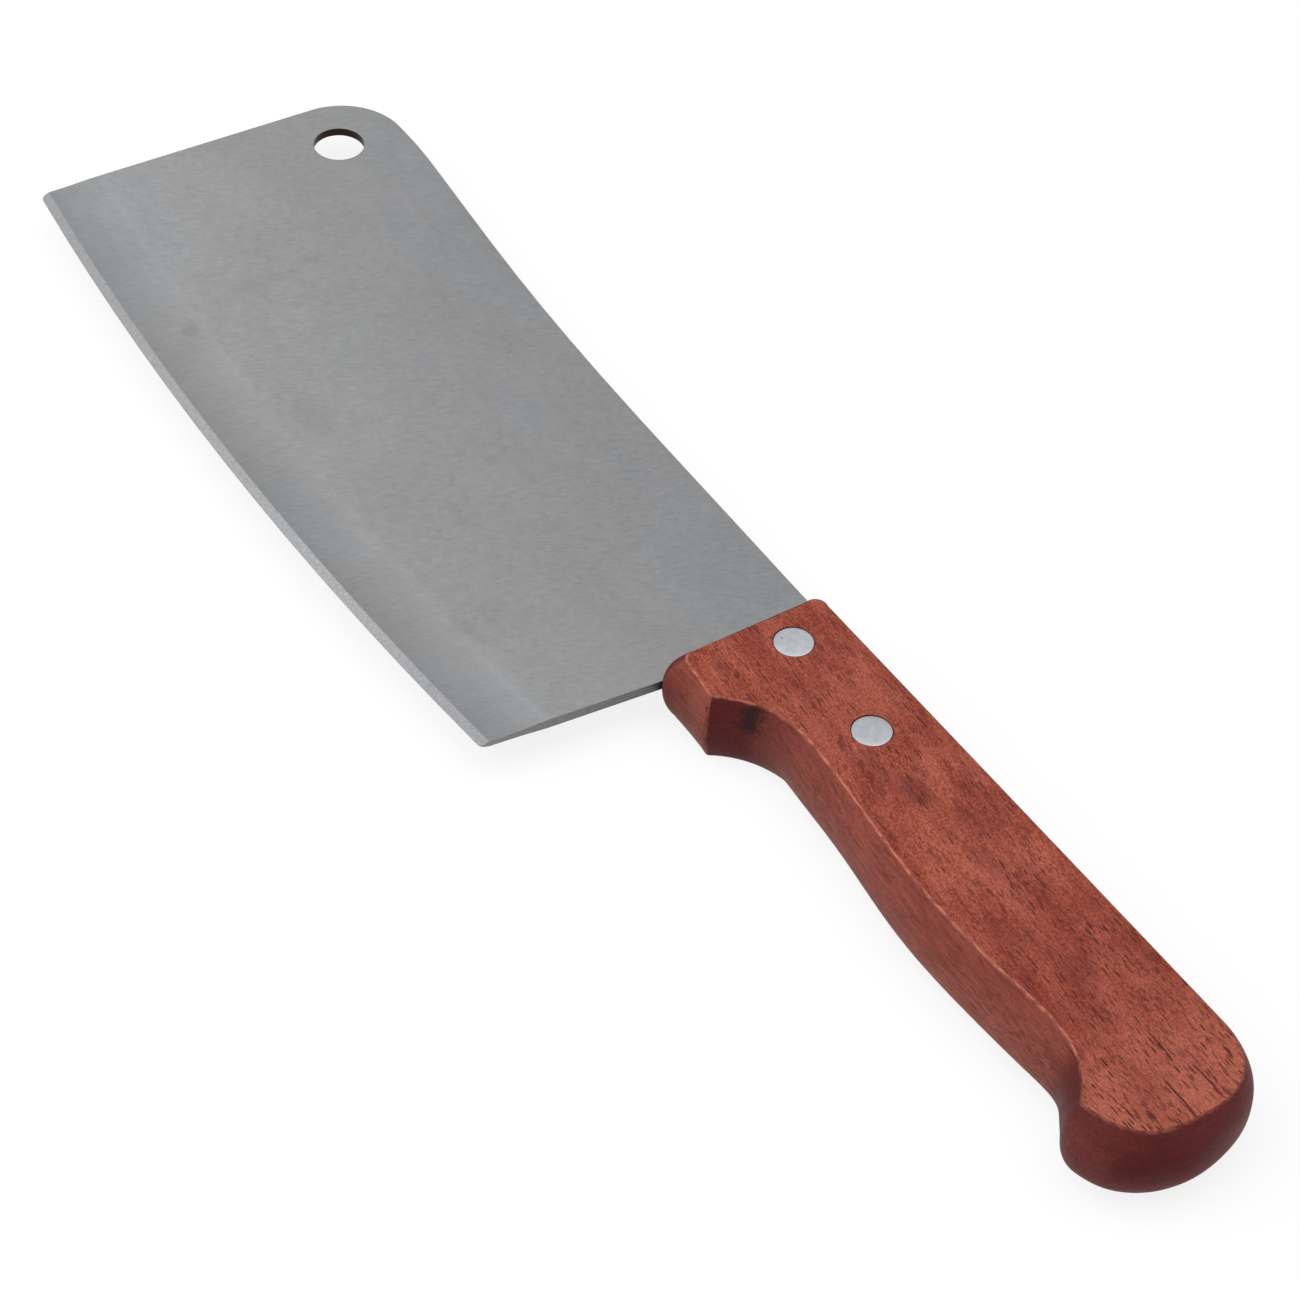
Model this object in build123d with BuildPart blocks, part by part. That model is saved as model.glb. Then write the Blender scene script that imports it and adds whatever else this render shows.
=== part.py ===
from build123d import *
import os

# Chinese cleaver lying on its side. X runs from the tip to the butt, Y from the cutting edge to
# the spine and Z up. The origin is under the middle of the whole knife.

# Blade outline, measured from the handle's spine line where it meets the blade
tip_reach = 191.5            # to the tip corner at the cutting edge
tip_lean = 4.0               # the tip edge leans back this much towards the spine
tip_depth = 71.0             # down to the tip corner
heel_reach = 3.5             # to the heel corner
heel_depth = 75.4            # down to the heel corner
edge_bow = 4.9               # bow of the cutting edge beyond the line from heel to tip
spine_step = 0.3             # the wood stands this much above the blade's spine
spine_rise = 8.0             # spine at the tip over the spine at the handle
spine_sweep_share = [(0.153, 0.045), (0.306, 0.09), (0.623, 0.41), (0.817, 0.86)]
spine_flat_share = 0.904     # where the spine stops rising
tip_spine_radius = 14.5
tip_corner_radius = 1.5
heel_corner_radius = 1.2

# Blade section
blade_thickness = 2.2        # at the handle
tip_thickness = 1.85         # at the tip
grind_height = 14.0          # cutting edge up to the end of the hollow grind
ground_thickness = 1.25      # left between the two hollow grinds above the bevel
grind_hollow = 0.12          # depth of the hollow below a straight grind
bevel_width = 1.9
edge_thickness = 0.1
hang_hole_diameter = 11.1
hang_hole_from_tip = 12.9
hang_hole_from_spine = 14.7

# Tang
tang_length = 52.0
tang_depth = 24.0            # handle's spine line down to the tang's lower edge
tang_root_inset = 1.4        # the heel runs on into the wood up to here
tang_end_radius = 4.0
tang_clearance = 0.05        # each side of the tang in its saw slot
slot_end_clearance = 0.3     # round the tang's edges

# Handle
handle_length = 145.4
handle_depth = 39.0          # spine line down to the hook, at half thickness
handle_thickness = 16.0
crown_levels_share = [-1.0, -0.7, -0.35, 0.0, 0.35, 0.7, 1.0]
crown_power = 2.5            # how late the sides turn in towards the flat faces

# Handle outline in shares of its length and depth: the place of each point on the fullest
# line, at half thickness, and on the line where the crowned sides meet the flat faces
outline_share = {
    "spine_front": ((0.028, 0.000), (0.033, 0.054)),
    "front_corner": ((0.008, 0.030), (0.017, 0.068)),
    "front_top": ((0.000, 0.103), (0.013, 0.131)),
    "front_bottom": ((-0.007, 0.867), (0.013, 0.810)),
    "belly_corner": ((0.001, 0.944), (0.020, 0.860)),
    "belly_front": ((0.022, 0.960), (0.033, 0.873)),
    "crease": ((0.104, 0.947), (0.096, 0.904)),
    "scoop_side": ((0.139, 0.798), (0.136, 0.750)),
    "scoop_floor": ((0.210, 0.741), (0.206, 0.664)),
    "hook_start": ((0.871, 0.949), (0.874, 0.873)),
    "hook_tip": ((0.890, 0.989), (0.882, 0.894)),
    "hook_end": ((0.919, 0.994), (0.891, 0.891)),
    "spine_rear": ((0.880, 0.000), (0.873, 0.051)),
}
grip_share = [
    ((0.329, 0.780), (0.329, 0.691)),
    ((0.498, 0.859), (0.498, 0.749)),
    ((0.667, 0.858), (0.667, 0.733)),
    ((0.772, 0.830), (0.772, 0.709)),
    ((0.825, 0.834), (0.825, 0.750)),
    ((0.851, 0.895), (0.853, 0.811)),
]
butt_share = [
    ((0.959, 0.926), (0.925, 0.841)),
    ((0.987, 0.771), (0.959, 0.730)),
    ((1.000, 0.560), (0.970, 0.538)),
    ((0.989, 0.330), (0.968, 0.333)),
    ((0.959, 0.116), (0.946, 0.160)),
]

# Rivets
rivet_setback = 9.7          # handle front to the front rivet
rivet_pitch = 27.0
rivet_front_depth = 13.4     # spine line down to the front rivet
rivet_rear_depth = 14.2
rivet_head_diameter = 8.0
rivet_head_thickness = 1.8
rivet_head_clearance = 0.05
rivet_barrel_diameter = 4.8
rivet_barrel_clearance = 0.05
rivet_stem_diameter = 3.0
rivet_stem_clearance = 0.02
rivet_end_gap = 0.5          # end of the barrel or stem to the head in front of it
rivet_chamfer = 0.3

overrun = 5.0                # how far a cutting shape passes the surface that it cuts

# Places
half_thickness = handle_thickness / 2
spine_start = (0, -spine_step)
spine_top = spine_rise - spine_step
spine_reach = tip_reach - tip_lean
tip_corner = (-tip_reach, -tip_depth)
tip_spine_corner = (-spine_reach, spine_top)
heel_corner = (-heel_reach, -heel_depth)
tang_root = (tang_root_inset, -tang_depth)
tang_corner = (tang_length, -tang_depth)
edge_middle = (-(tip_reach + heel_reach) / 2, -(tip_depth + heel_depth) / 2 - edge_bow)
edge = ThreePointArc(tip_corner, edge_middle, heel_corner)
edge_bottom = edge.arc_center.Y - edge.radius
hang_hole = (hang_hole_from_tip - spine_reach, spine_top - hang_hole_from_spine)
rivets = {
    "front": (rivet_setback, -rivet_front_depth),
    "rear": (rivet_setback + rivet_pitch, -rivet_rear_depth),
}
knife_middle = ((handle_length - tip_reach) / 2, (spine_top + edge_bottom) / 2)


def level(height):
    # Level plane whose origin is where the handle's spine line meets the blade
    return Plane((-knife_middle[0], -knife_middle[1], height))


middle = level(half_thickness)

# Blade: flat sheet with its tang
with BuildPart() as blade:
    with BuildSketch(middle) as sheet:
        with BuildLine():
            sweep = [(-x * spine_reach, y * spine_rise - spine_step) for x, y in spine_sweep_share]
            spine_flat = (-spine_flat_share * spine_reach, spine_top)
            Spline(spine_start, *sweep, spine_flat, tangents=[(-1, 0), (-1, 0)])
            Polyline(spine_flat, tip_spine_corner, tip_corner)
            add(edge)
            Polyline(heel_corner, tang_root, tang_corner)
            Polyline(tang_corner, (tang_length, -spine_step), spine_start)
        make_face()
        for corner, radius in (
            (tip_spine_corner, tip_spine_radius),
            (tip_corner, tip_corner_radius),
            (heel_corner, heel_corner_radius),
            (tang_corner, tang_end_radius),
        ):
            fillet(sheet.vertices().sort_by_distance(corner)[0], radius)
    extrude(amount=blade_thickness / 2, both=True)

    # Taper of both sides from the handle to the tip
    with BuildSketch(Plane(middle.origin, x_dir=(1, 0, 0), z_dir=(0, -1, 0))):
        with BuildLine():
            Polyline(
                (0, blade_thickness / 2),
                (-tip_reach, tip_thickness / 2),
                (-tip_reach - overrun, tip_thickness / 2),
                (-tip_reach - overrun, blade_thickness / 2),
                close=True,
            )
        make_face()
        mirror(about=Plane.XZ)
    extrude(amount=heel_depth + edge_bow + overrun, both=True, mode=Mode.SUBTRACT)

    # Hollow grind and bevel of both sides, swung along the bow of the cutting edge
    edge_hub = middle.from_local_coords(edge.arc_center)
    grind_start = (edge.radius - grind_height, blade_thickness / 2)
    grind_end = (edge.radius - bevel_width, ground_thickness / 2)
    grind_middle = (
        (grind_start[0] + grind_end[0]) / 2,
        (grind_start[1] + grind_end[1]) / 2 - grind_hollow,
    )
    with BuildSketch(Plane(edge_hub, x_dir=(0, -1, 0), z_dir=(-1, 0, 0))):
        with BuildLine():
            ThreePointArc(grind_start, grind_middle, grind_end)
            Polyline(
                grind_end,
                (edge.radius, edge_thickness / 2),
                (edge.radius + overrun, edge_thickness / 2),
                (edge.radius + overrun, blade_thickness / 2),
                grind_start,
            )
        make_face()
        mirror(about=Plane.XZ)
    revolve(axis=Axis(edge_hub, (0, 0, 1)), mode=Mode.SUBTRACT)

    with Locations(middle):
        with Locations(hang_hole):
            Hole(hang_hole_diameter / 2)
        with Locations(*rivets.values()):
            Hole(rivet_barrel_diameter / 2 + rivet_barrel_clearance)


def crowned(places, crown_share):
    # An outline point moves from its waist place to its face place as the crown share rises
    waist, face = places
    x_share = waist[0] + (face[0] - waist[0]) * crown_share
    y_share = waist[1] + (face[1] - waist[1]) * crown_share
    return (x_share * handle_length, -y_share * handle_depth)


def outline_at(level_share):
    # The named points of the handle's outline at one level, then its grip and its butt points
    crown_share = abs(level_share) ** crown_power
    at = {name: crowned(places, crown_share) for name, places in outline_share.items()}
    grip = [crowned(places, crown_share) for places in grip_share]
    butt = [crowned(places, crown_share) for places in butt_share]
    return (
        at,
        [at["scoop_floor"], *grip, at["hook_start"]],
        [at["hook_end"], *butt, at["spine_rear"]],
    )


def runs(points):
    # Distance of each point along a row of points
    lengths = [0]
    for start, end in zip(points, points[1:]):
        lengths.append(lengths[-1] + (Vector(*end) - Vector(*start)).length)
    return lengths


waist_at, waist_grip, waist_butt = outline_at(0)
grip_runs = runs(waist_grip)
butt_runs = runs(waist_butt)

# Handle: one block, crowned all round
with BuildPart() as handle:
    for level_share in crown_levels_share:
        at, grip, butt = outline_at(level_share)
        with BuildSketch(level(half_thickness * (1 + level_share))):
            with BuildLine():
                Line(at["spine_rear"], at["spine_front"])
                ThreePointArc(at["spine_front"], at["front_corner"], at["front_top"])
                Line(at["front_top"], at["front_bottom"])
                ThreePointArc(at["front_bottom"], at["belly_corner"], at["belly_front"])
                Line(at["belly_front"], at["crease"])
                scoop = ThreePointArc(at["crease"], at["scoop_side"], at["scoop_floor"])
                hook = ThreePointArc(at["hook_start"], at["hook_tip"], at["hook_end"])
                add(Edge.make_spline(
                    grip, tangents=[scoop % 1, hook % 0], parameters=grip_runs, scale=False
                ))
                add(Edge.make_spline(
                    butt, tangents=[hook % 1, (-1, 0)], parameters=butt_runs, scale=False
                ))
            make_face()
    loft()

    # Saw slot for the tang and the heel, open at the front and at the spine
    slot_end = (tang_length + slot_end_clearance, -tang_depth - slot_end_clearance)
    with BuildSketch(middle):
        with BuildLine():
            Polyline(
                (-overrun, overrun),
                (-overrun, -heel_depth),
                (heel_corner[0] + slot_end_clearance, -heel_depth),
                (tang_root[0] + slot_end_clearance, slot_end[1]),
                slot_end,
                (slot_end[0], overrun),
                close=True,
            )
        make_face()
    extrude(amount=blade_thickness / 2 + tang_clearance, both=True, mode=Mode.SUBTRACT)

    # Rivet holes with a flat seat for each head
    for height, inward in ((handle_thickness, -1), (0, 1)):
        with BuildSketch(level(height)):
            with Locations(*rivets.values()):
                Circle(rivet_head_diameter / 2 + rivet_head_clearance)
        extrude(amount=inward * rivet_head_thickness, mode=Mode.SUBTRACT)
    with Locations(middle):
        with Locations(*rivets.values()):
            Hole(rivet_barrel_diameter / 2 + rivet_barrel_clearance)

blade.part.label = "blade"
handle.part.label = "handle"
os.makedirs("parts", exist_ok=True)
export_step(blade.part, "parts/blade.step")
export_step(handle.part, "parts/handle.step")

# Two-piece rivets: the stem on the lower head is pressed into the barrel of the upper head
seat_to_seat = handle_thickness - 2 * rivet_head_thickness
for place, centre in rivets.items():
    with BuildPart() as barrel:
        with BuildSketch(level(handle_thickness - rivet_head_thickness)):
            with Locations(centre):
                Circle(rivet_head_diameter / 2)
        extrude(amount=rivet_head_thickness)
        with BuildSketch(level(handle_thickness - rivet_head_thickness)):
            with Locations(centre):
                Circle(rivet_barrel_diameter / 2)
        extrude(amount=rivet_end_gap - seat_to_seat)
        rim = barrel.edges().filter_by(GeomType.CIRCLE).group_by(Axis.Z)[0]
        chamfer(rim, rivet_chamfer)
        with BuildSketch(level(handle_thickness - rivet_head_thickness)):
            with Locations(centre):
                Circle(rivet_stem_diameter / 2 + rivet_stem_clearance)
        extrude(amount=-seat_to_seat, mode=Mode.SUBTRACT)

    with BuildPart() as stem:
        with BuildSketch(level(0)):
            with Locations(centre):
                Circle(rivet_head_diameter / 2)
        extrude(amount=rivet_head_thickness)
        with BuildSketch(level(rivet_head_thickness)):
            with Locations(centre):
                Circle(rivet_stem_diameter / 2)
        extrude(amount=seat_to_seat - rivet_end_gap)
        rim = stem.edges().filter_by(GeomType.CIRCLE).group_by(Axis.Z)[-1]
        chamfer(rim, rivet_chamfer)

    barrel.part.label = f"rivet_{place}_barrel"
    stem.part.label = f"rivet_{place}_stem"
    export_step(barrel.part, f"parts/rivet_{place}_barrel.step")
    export_step(stem.part, f"parts/rivet_{place}_stem.step")

hole_centre = middle.from_local_coords((*hang_hole, 0))
print("hang hole centre", hole_centre.X, hole_centre.Y)
print("spine enters the handle at", middle.origin.X, middle.origin.Y)
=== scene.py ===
import math
from types import SimpleNamespace

import bmesh
import bpy
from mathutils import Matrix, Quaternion, Vector


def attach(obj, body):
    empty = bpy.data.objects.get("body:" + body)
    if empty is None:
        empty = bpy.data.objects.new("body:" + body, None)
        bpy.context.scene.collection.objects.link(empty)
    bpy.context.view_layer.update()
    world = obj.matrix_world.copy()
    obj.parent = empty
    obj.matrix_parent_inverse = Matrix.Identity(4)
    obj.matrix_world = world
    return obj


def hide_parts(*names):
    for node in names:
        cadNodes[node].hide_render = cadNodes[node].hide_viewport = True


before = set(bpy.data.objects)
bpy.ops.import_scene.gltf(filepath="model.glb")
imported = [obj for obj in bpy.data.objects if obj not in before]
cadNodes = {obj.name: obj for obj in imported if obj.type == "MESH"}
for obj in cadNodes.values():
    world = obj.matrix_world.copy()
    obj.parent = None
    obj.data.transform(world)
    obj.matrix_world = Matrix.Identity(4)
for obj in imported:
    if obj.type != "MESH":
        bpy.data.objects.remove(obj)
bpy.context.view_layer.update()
mm = 0.001
print("cleaver: frame loaded with", len(cadNodes), "nodes")


# camera, at the height and turn of the photograph
cameraSetup = {
    "place": (0.4713914, -0.3257585, 0.5644124),
    "aim": (0.0206722, -0.0030425, 0.0160),
    "roll": 3.535,              # degrees, picture tips to the left
    "lens": 113.54,
    "sensor": 36.0,
    "clip": (0.01, 50.0),
}


def turnTowards(place, aim):
    return (Vector(aim) - Vector(place)).to_track_quat("-Z", "Y")


def addCamera(setup):
    data = bpy.data.cameras.new("photoCamera")
    data.lens = setup["lens"]
    data.sensor_width = setup["sensor"]
    data.sensor_fit = "HORIZONTAL"
    data.clip_start, data.clip_end = setup["clip"]
    data.dof.use_dof = False
    camera = bpy.data.objects.new("photoCamera", data)
    roll = Quaternion((0, 0, 1), math.radians(setup["roll"]))
    camera.location = setup["place"]
    camera.rotation_mode = "QUATERNION"
    camera.rotation_quaternion = turnTowards(setup["place"], setup["aim"]) @ roll
    bpy.context.scene.collection.objects.link(camera)
    bpy.context.scene.camera = camera


addCamera(cameraSetup)


# small helpers for node trees
def feed(tree, socket, value):
    if isinstance(value, bpy.types.NodeSocket):
        tree.links.new(value, socket)
    else:
        socket.default_value = value


def calc(tree, operation, *values, clamp=False):
    # one Math node, and one more for each value after the second
    result = values[0]
    for value in values[1:] or (0.0,):
        node = tree.nodes.new("ShaderNodeMath")
        node.operation = operation
        node.use_clamp = clamp
        feed(tree, node.inputs[0], result)
        feed(tree, node.inputs[1], value)
        result = node.outputs[0]
    return result


def total(tree, *values, clamp=False):
    return calc(tree, "ADD", *values, clamp=clamp)


def product(tree, *values, clamp=False):
    return calc(tree, "MULTIPLY", *values, clamp=clamp)


def largest(tree, *values):
    return calc(tree, "MAXIMUM", *values)


def weighted(tree, *pairs):
    return total(tree, *(product(tree, value, weight) for value, weight in pairs))


def spread(tree, value, low, high, outLow=0.0, outHigh=1.0, smooth=True):
    node = tree.nodes.new("ShaderNodeMapRange")
    node.interpolation_type = "SMOOTHSTEP" if smooth else "LINEAR"
    for name, entry in (
        ("Value", value), ("From Min", low), ("From Max", high),
        ("To Min", outLow), ("To Max", outHigh),
    ):
        feed(tree, node.inputs[name], entry)
    return node.outputs["Result"]


def linear(tree, value, low, high, outLow=0.0, outHigh=1.0):
    return spread(tree, value, low, high, outLow, outHigh, smooth=False)


def stretched(tree, place, lengths):
    # place in millimetres divided by a length along each axis
    node = tree.nodes.new("ShaderNodeVectorMath")
    node.operation = "DIVIDE"
    feed(tree, node.inputs[0], place)
    node.inputs[1].default_value = lengths
    return node.outputs["Vector"]


def noise(tree, place, lengths, detail=2.0, roughness=0.5, distortion=0.0):
    node = tree.nodes.new("ShaderNodeTexNoise")
    node.noise_dimensions = "3D"
    for name, value in (
        ("Scale", 1.0), ("Detail", detail), ("Roughness", roughness), ("Distortion", distortion),
    ):
        node.inputs[name].default_value = value
    feed(tree, node.inputs["Vector"], stretched(tree, place, lengths))
    return node.outputs["Fac"]


def blendColour(tree, share, first, second, kind="MIX"):
    node = tree.nodes.new("ShaderNodeMix")
    node.data_type = "RGBA"
    node.blend_type = kind
    node.clamp_factor = True
    for socket, value in ((node.inputs[0], share), (node.inputs[6], first), (node.inputs[7], second)):
        if isinstance(value, tuple):
            value = (*value, 1.0)
        feed(tree, socket, value)
    return node.outputs[2]


def joined(tree, x, y, z):
    node = tree.nodes.new("ShaderNodeCombineXYZ")
    for socket, value in zip(node.inputs, (x, y, z)):
        feed(tree, socket, value)
    return node.outputs[0]


def shaded(tree, colour, tone):
    # a colour made darker or lighter by a number
    return blendColour(tree, 1.0, colour, joined(tree, tone, tone, tone), "MULTIPLY")


def softSpot(tree, x, y, centre, size, strength=1.0):
    # full strength in the middle of an oval spot, fading out to 0
    across = calc(tree, "DIVIDE", calc(tree, "SUBTRACT", x, centre[0]), size[0])
    along = calc(tree, "DIVIDE", calc(tree, "SUBTRACT", y, centre[1]), size[1])
    away = total(tree, product(tree, across, across), product(tree, along, along))
    return spread(tree, away, 0.0, 1.0, strength, 0.0)


def meshAttribute(tree, name):
    node = tree.nodes.new("ShaderNodeAttribute")
    node.attribute_type = "GEOMETRY"
    node.attribute_name = name
    return node.outputs["Fac"]


def startMaterial(name):
    # a principled material, with the place in millimetres and the way the surface faces
    material = bpy.data.materials.new(name)
    material.use_nodes = True
    tree = material.node_tree
    tree.nodes.clear()
    output = tree.nodes.new("ShaderNodeOutputMaterial")
    shader = tree.nodes.new("ShaderNodeBsdfPrincipled")
    tree.links.new(shader.outputs["BSDF"], output.inputs["Surface"])
    coordinates = tree.nodes.new("ShaderNodeTexCoord")
    scale = tree.nodes.new("ShaderNodeVectorMath")
    scale.operation = "SCALE"
    scale.inputs["Scale"].default_value = 1 / mm
    tree.links.new(coordinates.outputs["Object"], scale.inputs[0])
    split = tree.nodes.new("ShaderNodeSeparateXYZ")
    tree.links.new(scale.outputs["Vector"], split.inputs[0])
    facing = tree.nodes.new("ShaderNodeSeparateXYZ")
    tree.links.new(coordinates.outputs["Normal"], facing.inputs[0])
    x, y, z = split.outputs
    return SimpleNamespace(
        material=material, tree=tree, shader=shader, place=scale.outputs["Vector"], x=x, y=y, z=z,
        facing=facing.outputs,
    )


def finishMaterial(here, colour, roughness, height, bump):
    tree, shader = here.tree, here.shader
    tree.links.new(colour, shader.inputs["Base Color"])
    tree.links.new(roughness, shader.inputs["Roughness"])
    node = tree.nodes.new("ShaderNodeBump")
    node.inputs["Distance"].default_value, node.inputs["Strength"].default_value = bump
    feed(tree, node.inputs["Height"], height)
    tree.links.new(node.outputs["Normal"], shader.inputs["Normal"])
    return here.material


# blade: cross-ground stainless sheet, in millimetres
steelLook = {
    "tipCorner": (-168.45, -35.68),       # where the bowed edge starts, is deepest and ends
    "edgeMiddle": (-74.45, -42.78),
    "heelCorner": (19.55, -40.08),
    "grindHeight": 14.0,                  # of the ridge, above the edge
    "hole": ((-151.55, 28.32), (12.0, 12.0)),        # a soft spot, and where it counts as the hole
    "holeFrom": 0.05,
    "toneStops": [                        # height above the edge, grey
        (1.9, 0.250), (5.0, 0.268), (10.0, 0.292), (14.0, 0.310), (20.0, 0.304), (45.0, 0.288),
        (78.0, 0.262),
    ],
    "toneScale": 80.0,
    "blueLift": 1.005,
    "warmGrey": (1.008, 0.994, 0.987),    # slow tints over the grey
    "coolGrey": (0.981, 0.999, 1.013),
    "bevelColour": (0.262, 0.264, 0.269),
    "edgeFaceColour": (0.150, 0.147, 0.150),
    "holeColour": (0.030, 0.016, 0.014),
    "upperMarks": (0.42, 0.91),           # which way the brush marks run, above and below the ridge
    "lowerMarks": (0.64, 0.77),
    "smudges": [                          # centre, size, strength
        ((-113.0, -29.7), (3.2, 2.4), 0.12),
        ((-77.0, -20.7), (9.0, 5.0), 0.06),
        ((-119.0, -7.7), (3.0, 10.0), 0.05),
        ((-36.0, -9.7), (7.0, 4.0), 0.05),
        ((-165.0, 8.0), (5.0, 12.0), 0.05),
        ((-8.0, -27.0), (4.0, 3.0), 0.06),
        ((-120.0, 3.5), (2.0, 4.5), 0.06),
    ],
    # noise fields: grain lengths, then detail and roughness
    "clouds": ((16.0, 11.0, 20.0), 3.0),
    "mottle": ((1.1, 1.1, 2.0), 2.0),
    "brush": ((2.6, 0.18, 4.0), 3.0, 0.7),
    "grindLines": ((0.24, 16.0, 4.0), 2.0, 0.7),
    "drift": ((34.0, 20.0, 20.0), 2.0),
    "stoneMarks": ((0.30, 0.55, 1.0), 2.0, 0.7),
    "cutLines": ((1.4, 1.4, 0.16), 2.0),
    # steps: two values of what is followed, and what comes out at each
    "endTone": (-165.0, 20.0, 1.00, 0.81),           # darker towards the heel
    "belowRidge": (-1.0, 1.0, 1.0, 0.0),             # by height above the ridge
    "cloudShade": (0.3, 0.7, 0.97, 1.03),
    "markShade": (0.25, 0.75, -0.19, 0.19),
    "ridgeLight": (0.0, 1.9, 0.05, 0.0),
    "ridgeAlong": (-160.0, -40.0, 0.75, 1.1),        # softer at the tip
    "coolLow": (5.0, 17.0, 0.55, 0.0),               # by height above the edge
    "coolHigh": (45.0, 76.0, 0.0, 0.45),
    "coolDrift": (0.32, 0.68, -0.15, 0.75),
    "bevelTop": (1.78, 1.95, 1.0, 0.0),
    "bevelAlong": (-168.0, 20.0, 0.99, 0.88),
    "bevelHeel": (-30.0, 12.0, 1.0, 0.87),
    "stoneShade": (0.3, 0.7, -0.18, 0.18),
    "cutFaces": (0.45, 0.75, 1.0, 0.0),              # by how far the surface faces up or down
    "cutShade": (0.3, 0.7, 0.8, 1.2),
    "cutAlong": (-40.0, 10.0, 1.5, 0.75),
    "roughness": (0.3, 0.7, 0.37, 0.48),
    "markWeights": (0.75, 0.25),                     # brush marks, and what lies under them
    "bump": (0.00002, 0.5),                          # metres, strength
}


def circleThrough(a, b, c):
    ax, ay, bx, by, cx, cy = *a, *b, *c
    d = 2 * (ax * (by - cy) + bx * (cy - ay) + cx * (ay - by))
    aa, bb, cc = ax**2 + ay**2, bx**2 + by**2, cx**2 + cy**2
    x = (aa * (by - cy) + bb * (cy - ay) + cc * (ay - by)) / d
    y = (aa * (cx - bx) + bb * (ax - cx) + cc * (bx - ax)) / d
    return (x, y), math.hypot(ax - x, ay - y)


def brushMarks(here, look, way):
    tree, x, y = here.tree, here.x, here.y
    alongMark = weighted(tree, (x, way[0]), (y, way[1]))
    acrossMark = calc(tree, "SUBTRACT", product(tree, y, way[0]), product(tree, x, way[1]))
    return noise(tree, joined(tree, alongMark, acrossMark, here.z), *look["brush"])


def followEdge(here, look):
    # height above the bowed cutting edge and above the ridge, and the way along the edge
    tree = here.tree
    hub, radius = circleThrough(look["tipCorner"], look["edgeMiddle"], look["heelCorner"])
    fromHubX = calc(tree, "SUBTRACT", here.x, hub[0])
    fromHubY = calc(tree, "SUBTRACT", hub[1], here.y)
    squares = total(tree, product(tree, fromHubX, fromHubX), product(tree, fromHubY, fromHubY))
    here.height = calc(tree, "SUBTRACT", radius, calc(tree, "SQRT", squares))
    here.aboveRidge = calc(tree, "SUBTRACT", here.height, look["grindHeight"])
    along = product(tree, calc(tree, "ARCTAN2", fromHubX, fromHubY), radius)
    here.edgePlace = joined(tree, along, here.height, here.z)


def greyByHeight(here, look):
    ramp = here.tree.nodes.new("ShaderNodeValToRGB")
    ramp.color_ramp.interpolation = "B_SPLINE"
    stops = ramp.color_ramp.elements
    while len(stops) > 1:
        stops.remove(stops[-1])
    for number, (level, grey) in enumerate(look["toneStops"]):
        share = level / look["toneScale"]
        stop = stops[0] if number == 0 else stops.new(share)
        stop.position = share
        stop.color = (grey, grey, grey * look["blueLift"], 1)
    here.tree.links.new(calc(here.tree, "DIVIDE", here.height, look["toneScale"]), ramp.inputs[0])
    return ramp.outputs["Color"]


def grindMarks(here, look):
    # short brush marks that turn a little at the ridge, with lines square to the edge below it
    tree = here.tree
    brush, under = look["markWeights"]
    mottle = noise(tree, here.place, *look["mottle"])
    lines = noise(tree, here.edgePlace, *look["grindLines"])
    upper = weighted(tree, (brushMarks(here, look, look["upperMarks"]), brush), (mottle, under))
    lower = weighted(tree, (brushMarks(here, look, look["lowerMarks"]), brush), (lines, under))
    mixMarks = tree.nodes.new("ShaderNodeMix")
    mixMarks.data_type = "FLOAT"
    feed(tree, mixMarks.inputs[0], spread(tree, here.aboveRidge, *look["belowRidge"]))
    feed(tree, mixMarks.inputs[2], upper)
    feed(tree, mixMarks.inputs[3], lower)
    return mixMarks.outputs[0]


def sheetShade(here, look, marks):
    tree, x, y = here.tree, here.x, here.y
    cloud = noise(tree, here.place, *look["clouds"])
    shade = total(tree, linear(tree, cloud, *look["cloudShade"]), linear(tree, marks, *look["markShade"]))
    # the ridge where the grind begins catches light
    ridge = spread(tree, calc(tree, "ABSOLUTE", here.aboveRidge), *look["ridgeLight"])
    shade = total(tree, shade, product(tree, ridge, spread(tree, x, *look["ridgeAlong"])))
    for smudge in look["smudges"]:
        shade = calc(tree, "SUBTRACT", shade, softSpot(tree, x, y, *smudge))
    return shade


def sheetTint(here, look):
    # bluish below the ridge and towards the spine, warmer between
    tree, height = here.tree, here.height
    byHeight = largest(tree, spread(tree, height, *look["coolLow"]), spread(tree, height, *look["coolHigh"]))
    drift = spread(tree, noise(tree, here.place, *look["drift"]), *look["coolDrift"])
    return blendColour(tree, total(tree, byHeight, drift, clamp=True), look["warmGrey"], look["coolGrey"])


def bevelSteel(here, look):
    tree, x = here.tree, here.x
    stone = linear(tree, noise(tree, here.edgePlace, *look["stoneMarks"]), *look["stoneShade"])
    tone = total(tree, linear(tree, x, *look["bevelAlong"]), stone)
    tone = product(tree, tone, spread(tree, x, *look["bevelHeel"]))
    return shaded(tree, look["bevelColour"], tone)


def cutSteel(here, look):
    # sheared faces all round and the wall of the hanging hole
    tree, x, y = here.tree, here.x, here.y
    lines = linear(tree, noise(tree, here.place, *look["cutLines"]), *look["cutShade"])
    cut = shaded(tree, look["edgeFaceColour"], lines)
    cut = shaded(tree, cut, linear(tree, y, *look["cutAlong"]))
    inHole = calc(tree, "GREATER_THAN", softSpot(tree, x, y, *look["hole"]), look["holeFrom"])
    return blendColour(tree, inHole, cut, look["holeColour"])


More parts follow.
